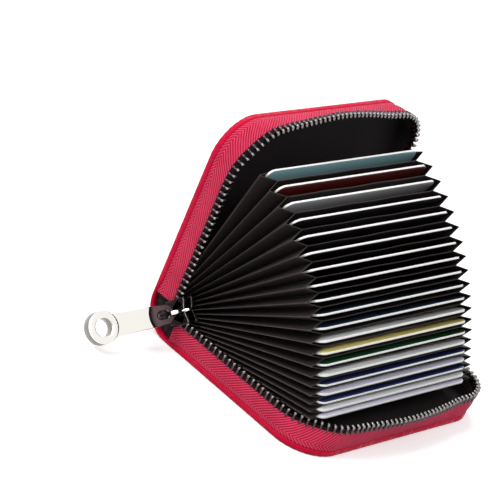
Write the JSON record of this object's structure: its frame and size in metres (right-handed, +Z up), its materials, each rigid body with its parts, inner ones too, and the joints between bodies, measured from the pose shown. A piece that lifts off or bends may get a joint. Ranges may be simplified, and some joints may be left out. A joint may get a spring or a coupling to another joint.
{
  "type": "accordion card wallet",
  "caption": "Pocket wallet with two leather covers, a zip round three sides and a fan of card pockets that spreads as the covers open.",
  "frame": {"origin": "centre of the lower cover's outer face, on the surface it lies on", "axes": "+X from the spine to the opening edge, +Y along the covers away from the zip slider, +Z up"},
  "size_m": [0.0859, 0.1405, 0.0847],
  "materials": {
    "leather": "pebbled",
    "board": "matte",
    "lining": "woven",
    "zip_tape": "herringbone weave",
    "zip_teeth": "black nickel",
    "chrome": "polished",
    "accordion": "matte",
    "card_lavender": "satin",
    "card_white": "satin",
    "card_navy": "satin",
    "card_green": "satin",
    "card_yellow": "satin",
    "card_blue": "satin",
    "card_black": "satin",
    "card_silver": "satin",
    "card_red": "satin",
    "card_teal": "satin"
  },
  "bodies": {
    "lower_cover": {"lower_leather": "leather", "lower_board": "board", "lower_lining": "lining", "lower_tape": "zip_tape", "lower_teeth": "zip_teeth", "spine_leather": "leather", "spine_lining": "lining", "left_pleats": "accordion", "right_pleats": "accordion"},
    "upper_cover": {"upper_leather": "leather", "upper_board": "board", "upper_lining": "lining", "upper_tape": "zip_tape", "upper_teeth": "zip_teeth"},
    "zip_end": {"zip_end_stop": "zip_teeth", "far_end_stop": "zip_teeth"},
    "slider": {"slider_body": "chrome"},
    "pull": {"pull_tab": "chrome"},
    "accordion_spine": {"accordion_spine": "accordion"},
    "page_01": {"leaf_01": "accordion"},
    "card_01": {"card_01": "card_lavender"},
    "page_02": {"leaf_02": "accordion"},
    "card_02": {"card_02": "card_white"},
    "page_03": {"leaf_03": "accordion"},
    "card_03": {"card_03": "card_navy"},
    "page_04": {"leaf_04": "accordion"},
    "card_04": {"card_04": "card_lavender"},
    "page_05": {"leaf_05": "accordion"},
    "card_05": {"card_05": "card_navy"},
    "page_06": {"leaf_06": "accordion"},
    "card_06": {"card_06": "card_white"},
    "page_07": {"leaf_07": "accordion"},
    "card_07": {"card_07": "card_green"},
    "page_08": {"leaf_08": "accordion"},
    "card_08": {"card_08": "card_yellow"},
    "page_09": {"leaf_09": "accordion"},
    "card_09": {"card_09": "card_white"},
    "page_10": {"leaf_10": "accordion"},
    "card_10": {"card_10": "card_blue"},
    "page_11": {"leaf_11": "accordion"},
    "card_11": {"card_11": "card_blue"},
    "page_12": {"leaf_12": "accordion"},
    "card_12": {"card_12": "card_black"},
    "page_13": {"leaf_13": "accordion"},
    "card_13": {"card_13": "card_black"},
    "page_14": {"leaf_14": "accordion"},
    "card_14": {"card_14": "card_black"},
    "page_15": {"leaf_15": "accordion"},
    "card_15": {"card_15": "card_black"},
    "page_16": {"leaf_16": "accordion"},
    "card_16": {"card_16": "card_black"},
    "page_17": {"leaf_17": "accordion"},
    "card_17": {"card_17": "card_black"},
    "page_18": {"leaf_18": "accordion"},
    "card_18": {"card_18": "card_silver"},
    "page_19": {"leaf_19": "accordion"},
    "card_19": {"card_19": "card_red"},
    "page_20": {"leaf_20": "accordion", "leaf_21": "accordion"},
    "card_20": {"card_20": "card_teal"}
  },
  "joints": [
    {"name": "cover_hinge", "type": "hinge", "parent": "lower_cover", "child": "upper_cover", "pos_m": [-0.035, 0, 0.0127], "axis": [0, -1, 0], "range_deg": [-91, 0], "deforming": ["spine_leather", "spine_lining", "left_pleats", "right_pleats"]},
    {"name": "zip_end_turn", "type": "hinge", "parent": "lower_cover", "child": "zip_end", "pos_m": [-0.035, 0, 0.0127], "axis": [0, -1, 0], "range_deg": [-45.5, 0]},
    {"name": "slider_run", "type": "slide", "parent": "zip_end", "child": "slider", "axis": [-0.7009, 0, -0.7133], "range_m": [-0.05, 0]},
    {"name": "pull_swing", "type": "hinge", "parent": "slider", "child": "pull", "pos_m": [-0.03458, -0.05535, 0.01313], "axis": [-0.7133, 0, 0.7009], "range_deg": [-58, 98]},
    {"name": "accordion_spine_turn", "type": "hinge", "parent": "lower_cover", "child": "accordion_spine", "pos_m": [-0.02864, 0, 0.00392], "axis": [0, -1, 0], "range_deg": [-45.5, 0]},
    {"name": "page_01_turn", "type": "hinge", "parent": "lower_cover", "child": "page_01", "pos_m": [-0.02855, 0, 0.0114], "axis": [0, -1, 0], "range_deg": [-8.8, 0]},
    {"name": "card_01_slide", "type": "slide", "parent": "page_01", "child": "card_01", "axis": [0.9882, 0, 0.153], "range_m": [0, 0.05]},
    {"name": "page_02_turn", "type": "hinge", "parent": "lower_cover", "child": "page_02", "pos_m": [-0.02772, 0, 0.00643], "axis": [0, -1, 0], "range_deg": [-10.18, 0]},
    {"name": "card_02_slide", "type": "slide", "parent": "page_02", "child": "card_02", "axis": [0.9843, 0, 0.1767], "range_m": [0, 0.05]},
    {"name": "page_03_turn", "type": "hinge", "parent": "lower_cover", "child": "page_03", "pos_m": [-0.02718, 0, 0.00292], "axis": [0, -1, 0], "range_deg": [-11.8, 0]},
    {"name": "card_03_slide", "type": "slide", "parent": "page_03", "child": "card_03", "axis": [0.9789, 0, 0.2045], "range_m": [0, 0.05]},
    {"name": "page_04_turn", "type": "hinge", "parent": "lower_cover", "child": "page_04", "pos_m": [-0.02689, 0, 0.00059], "axis": [0, -1, 0], "range_deg": [-13.68, 0]},
    {"name": "card_04_slide", "type": "slide", "parent": "page_04", "child": "card_04", "axis": [0.9716, 0, 0.2364], "range_m": [0, 0.05]},
    {"name": "page_05_turn", "type": "hinge", "parent": "lower_cover", "child": "page_05", "pos_m": [-0.02678, 0, -0.00081], "axis": [0, -1, 0], "range_deg": [-15.8, 0]},
    {"name": "card_05_slide", "type": "slide", "parent": "page_05", "child": "card_05", "axis": [0.9622, 0, 0.2723], "range_m": [0, 0.05]},
    {"name": "page_06_turn", "type": "hinge", "parent": "lower_cover", "child": "page_06", "pos_m": [-0.02682, 0, -0.00152], "axis": [0, -1, 0], "range_deg": [-18.18, 0]},
    {"name": "card_06_slide", "type": "slide", "parent": "page_06", "child": "card_06", "axis": [0.9501, 0, 0.312], "range_m": [0, 0.05]},
    {"name": "page_07_turn", "type": "hinge", "parent": "lower_cover", "child": "page_07", "pos_m": [-0.02697, 0, -0.00171], "axis": [0, -1, 0], "range_deg": [-20.8, 0]},
    {"name": "card_07_slide", "type": "slide", "parent": "page_07", "child": "card_07", "axis": [0.9348, 0, 0.3552], "range_m": [0, 0.05]},
    {"name": "page_08_turn", "type": "hinge", "parent": "lower_cover", "child": "page_08", "pos_m": [-0.0272, 0, -0.00151], "axis": [0, -1, 0], "range_deg": [-23.68, 0]},
    {"name": "card_08_slide", "type": "slide", "parent": "page_08", "child": "card_08", "axis": [0.9158, 0, 0.4016], "range_m": [0, 0.05]},
    {"name": "page_09_turn", "type": "hinge", "parent": "lower_cover", "child": "page_09", "pos_m": [-0.0275, 0, -0.00102], "axis": [0, -1, 0], "range_deg": [-26.8, 0]},
    {"name": "card_09_slide", "type": "slide", "parent": "page_09", "child": "card_09", "axis": [0.8925, 0, 0.4509], "range_m": [0, 0.05]},
    {"name": "page_10_turn", "type": "hinge", "parent": "lower_cover", "child": "page_10", "pos_m": [-0.02784, 0, -0.00031], "axis": [0, -1, 0], "range_deg": [-30.18, 0]},
    {"name": "card_10_slide", "type": "slide", "parent": "page_10", "child": "card_10", "axis": [0.8644, 0, 0.5027], "range_m": [0, 0.05]},
    {"name": "page_11_turn", "type": "hinge", "parent": "lower_cover", "child": "page_11", "pos_m": [-0.02822, 0, 0.00055], "axis": [0, -1, 0], "range_deg": [-33.81, 0]},
    {"name": "card_11_slide", "type": "slide", "parent": "page_11", "child": "card_11", "axis": [0.8309, 0, 0.5564], "range_m": [0, 0.05]},
    {"name": "page_12_turn", "type": "hinge", "parent": "lower_cover", "child": "page_12", "pos_m": [-0.02863, 0, 0.00154], "axis": [0, -1, 0], "range_deg": [-37.68, 0]},
    {"name": "card_12_slide", "type": "slide", "parent": "page_12", "child": "card_12", "axis": [0.7914, 0, 0.6113], "range_m": [0, 0.05]},
    {"name": "page_13_turn", "type": "hinge", "parent": "lower_cover", "child": "page_13", "pos_m": [-0.02906, 0, 0.00262], "axis": [0, -1, 0], "range_deg": [-41.81, 0]},
    {"name": "card_13_slide", "type": "slide", "parent": "page_13", "child": "card_13", "axis": [0.7454, 0, 0.6666], "range_m": [0, 0.05]},
    {"name": "page_14_turn", "type": "hinge", "parent": "lower_cover", "child": "page_14", "pos_m": [-0.02951, 0, 0.00377], "axis": [0, -1, 0], "range_deg": [-46.19, 0]},
    {"name": "card_14_slide", "type": "slide", "parent": "page_14", "child": "card_14", "axis": [0.6923, 0, 0.7216], "range_m": [0, 0.05]},
    {"name": "page_15_turn", "type": "hinge", "parent": "lower_cover", "child": "page_15", "pos_m": [-0.02996, 0, 0.00497], "axis": [0, -1, 0], "range_deg": [-50.81, 0]},
    {"name": "card_15_slide", "type": "slide", "parent": "page_15", "child": "card_15", "axis": [0.6319, 0, 0.7751], "range_m": [0, 0.05]},
    {"name": "page_16_turn", "type": "hinge", "parent": "lower_cover", "child": "page_16", "pos_m": [-0.03044, 0, 0.00623], "axis": [0, -1, 0], "range_deg": [-55.69, 0]},
    {"name": "card_16_slide", "type": "slide", "parent": "page_16", "child": "card_16", "axis": [0.5637, 0, 0.826], "range_m": [0, 0.05]},
    {"name": "page_17_turn", "type": "hinge", "parent": "lower_cover", "child": "page_17", "pos_m": [-0.03091, 0, 0.00751], "axis": [0, -1, 0], "range_deg": [-60.81, 0]},
    {"name": "card_17_slide", "type": "slide", "parent": "page_17", "child": "card_17", "axis": [0.4876, 0, 0.873], "range_m": [0, 0.05]},
    {"name": "page_18_turn", "type": "hinge", "parent": "lower_cover", "child": "page_18", "pos_m": [-0.0314, 0, 0.00884], "axis": [0, -1, 0], "range_deg": [-66.19, 0]},
    {"name": "card_18_slide", "type": "slide", "parent": "page_18", "child": "card_18", "axis": [0.4037, 0, 0.9149], "range_m": [0, 0.05]},
    {"name": "page_19_turn", "type": "hinge", "parent": "lower_cover", "child": "page_19", "pos_m": [-0.0319, 0, 0.01019], "axis": [0, -1, 0], "range_deg": [-71.82, 0]},
    {"name": "card_19_slide", "type": "slide", "parent": "page_19", "child": "card_19", "axis": [0.3121, 0, 0.9501], "range_m": [0, 0.05]},
    {"name": "page_20_turn", "type": "hinge", "parent": "lower_cover", "child": "page_20", "pos_m": [-0.0324, 0, 0.01156], "axis": [0, -1, 0], "range_deg": [-77.69, 0]},
    {"name": "card_20_slide", "type": "slide", "parent": "page_20", "child": "card_20", "axis": [0.2131, 0, 0.977], "range_m": [0, 0.05]}
  ],
  "couplings": [
    {"joint": "zip_end_turn", "follows": "cover_hinge", "ratio": 0.5},
    {"joint": "accordion_spine_turn", "follows": "cover_hinge", "ratio": 0.5},
    {"joint": "page_01_turn", "follows": "cover_hinge", "ratio": 0.0967},
    {"joint": "page_02_turn", "follows": "cover_hinge", "ratio": 0.11181},
    {"joint": "page_03_turn", "follows": "cover_hinge", "ratio": 0.12968},
    {"joint": "page_04_turn", "follows": "cover_hinge", "ratio": 0.15029},
    {"joint": "page_05_turn", "follows": "cover_hinge", "ratio": 0.17364},
    {"joint": "page_06_turn", "follows": "cover_hinge", "ratio": 0.19975},
    {"joint": "page_07_turn", "follows": "cover_hinge", "ratio": 0.2286},
    {"joint": "page_08_turn", "follows": "cover_hinge", "ratio": 0.26021},
    {"joint": "page_09_turn", "follows": "cover_hinge", "ratio": 0.29456},
    {"joint": "page_10_turn", "follows": "cover_hinge", "ratio": 0.33165},
    {"joint": "page_11_turn", "follows": "cover_hinge", "ratio": 0.3715},
    {"joint": "page_12_turn", "follows": "cover_hinge", "ratio": 0.41409},
    {"joint": "page_13_turn", "follows": "cover_hinge", "ratio": 0.45944},
    {"joint": "page_14_turn", "follows": "cover_hinge", "ratio": 0.50753},
    {"joint": "page_15_turn", "follows": "cover_hinge", "ratio": 0.55836},
    {"joint": "page_16_turn", "follows": "cover_hinge", "ratio": 0.61195},
    {"joint": "page_17_turn", "follows": "cover_hinge", "ratio": 0.66828},
    {"joint": "page_18_turn", "follows": "cover_hinge", "ratio": 0.72737},
    {"joint": "page_19_turn", "follows": "cover_hinge", "ratio": 0.7892},
    {"joint": "page_20_turn", "follows": "cover_hinge", "ratio": 0.85377}
  ]
}
